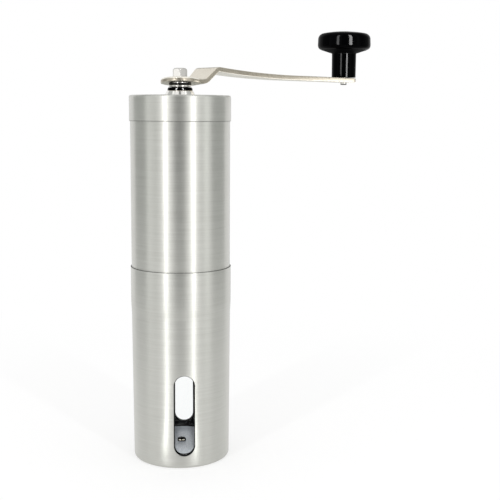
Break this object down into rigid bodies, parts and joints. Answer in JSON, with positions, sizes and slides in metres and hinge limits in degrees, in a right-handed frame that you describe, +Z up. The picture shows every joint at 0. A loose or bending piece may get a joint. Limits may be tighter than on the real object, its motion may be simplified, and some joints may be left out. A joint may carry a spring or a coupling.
{
  "type": "manual coffee grinder",
  "caption": "Slim hand coffee grinder: steel body with sight slots in its grounds cup, ceramic cone burrs, lift-off lid, bent crank with mushroom knob.",
  "frame": {"origin": "centre of the flat base, on the surface that the grinder stands on", "axes": "+Z up along the body's axis, -Y out of the front sight slot, +X to the right in the picture"},
  "size_m": [0.1285, 0.114, 0.2105],
  "materials": {
    "brushed_steel": "brushed round the axis",
    "clear_plastic": "clear moulded plastic, glossy",
    "black_moulding": "moulded gloss",
    "black_nylon": "moulded satin",
    "acetal": "turned satin",
    "ceramic": "fired matt",
    "black_gloss": "polished",
    "bright_steel": "turned bright",
    "spring_steel": "drawn wire",
    "brass": "turned",
    "satin_steel": "blanked sheet, satin",
    "rubber": "moulded"
  },
  "bodies": {
    "cup": {"grounds_cup": "brushed_steel", "cup_liner": "black_moulding", "window_sleeve": "clear_plastic"},
    "hopper": {"hopper_tube": "brushed_steel", "burr_carrier": "black_nylon", "shaft_bush": "acetal", "outer_burr": "ceramic", "burr_retainer": "black_nylon"},
    "lid": {"lid_cap": "brushed_steel", "lid_insert": "black_nylon", "lid_bush": "black_gloss"},
    "shaft": {"drive_shaft": "bright_steel", "thrust_washer": "bright_steel", "shaft_clip": "spring_steel", "spring_top_washer": "bright_steel", "burr_spring": "spring_steel"},
    "burr": {"inner_burr": "ceramic", "burr_core": "black_nylon", "spring_seat_washer": "bright_steel"},
    "dial": {"adjuster_dial": "black_nylon", "dial_nut": "brass"},
    "crank": {"crank_arm": "satin_steel", "hub_boss": "bright_steel", "hub_o_ring": "rubber", "knob_pin": "bright_steel"},
    "knob": {"knob": "black_gloss"}
  },
  "joints": [
    {"name": "hopper_lift", "type": "slide", "parent": "cup", "child": "hopper", "axis": [0, 0, 1], "range_m": [0, 0.06]},
    {"name": "crank_turn", "type": "hinge", "parent": "hopper", "child": "shaft", "pos_m": [0, 0, 0.14], "axis": [0, 0, 1], "continuous": true},
    {"name": "burr_gap", "type": "slide", "parent": "shaft", "child": "burr", "axis": [0, 0, 1], "range_m": [-0.00105, 0.00065], "deforming": ["burr_spring"]},
    {"name": "dial_turn", "type": "hinge", "parent": "burr", "child": "dial", "pos_m": [0, 0, 0.07], "axis": [0, 0, 1], "range_deg": [-360, 216]},
    {"name": "crank_lift", "type": "slide", "parent": "shaft", "child": "crank", "axis": [0, 0, 1], "range_m": [0, 0.05]},
    {"name": "lid_lift", "type": "slide", "parent": "hopper", "child": "lid", "axis": [0, 0, 1], "range_m": [0, 0.0301]},
    {"name": "knob_spin", "type": "hinge", "parent": "crank", "child": "knob", "pos_m": [0.09001, 0.07553, 0.19], "axis": [0, 0, 1], "continuous": true}
  ],
  "couplings": [
    {"joint": "burr_gap", "follows": "dial_turn", "m_per_rad": 0.00015915},
    {"joint": "lid_lift", "follows": "crank_lift", "ratio": 0.6}
  ]
}
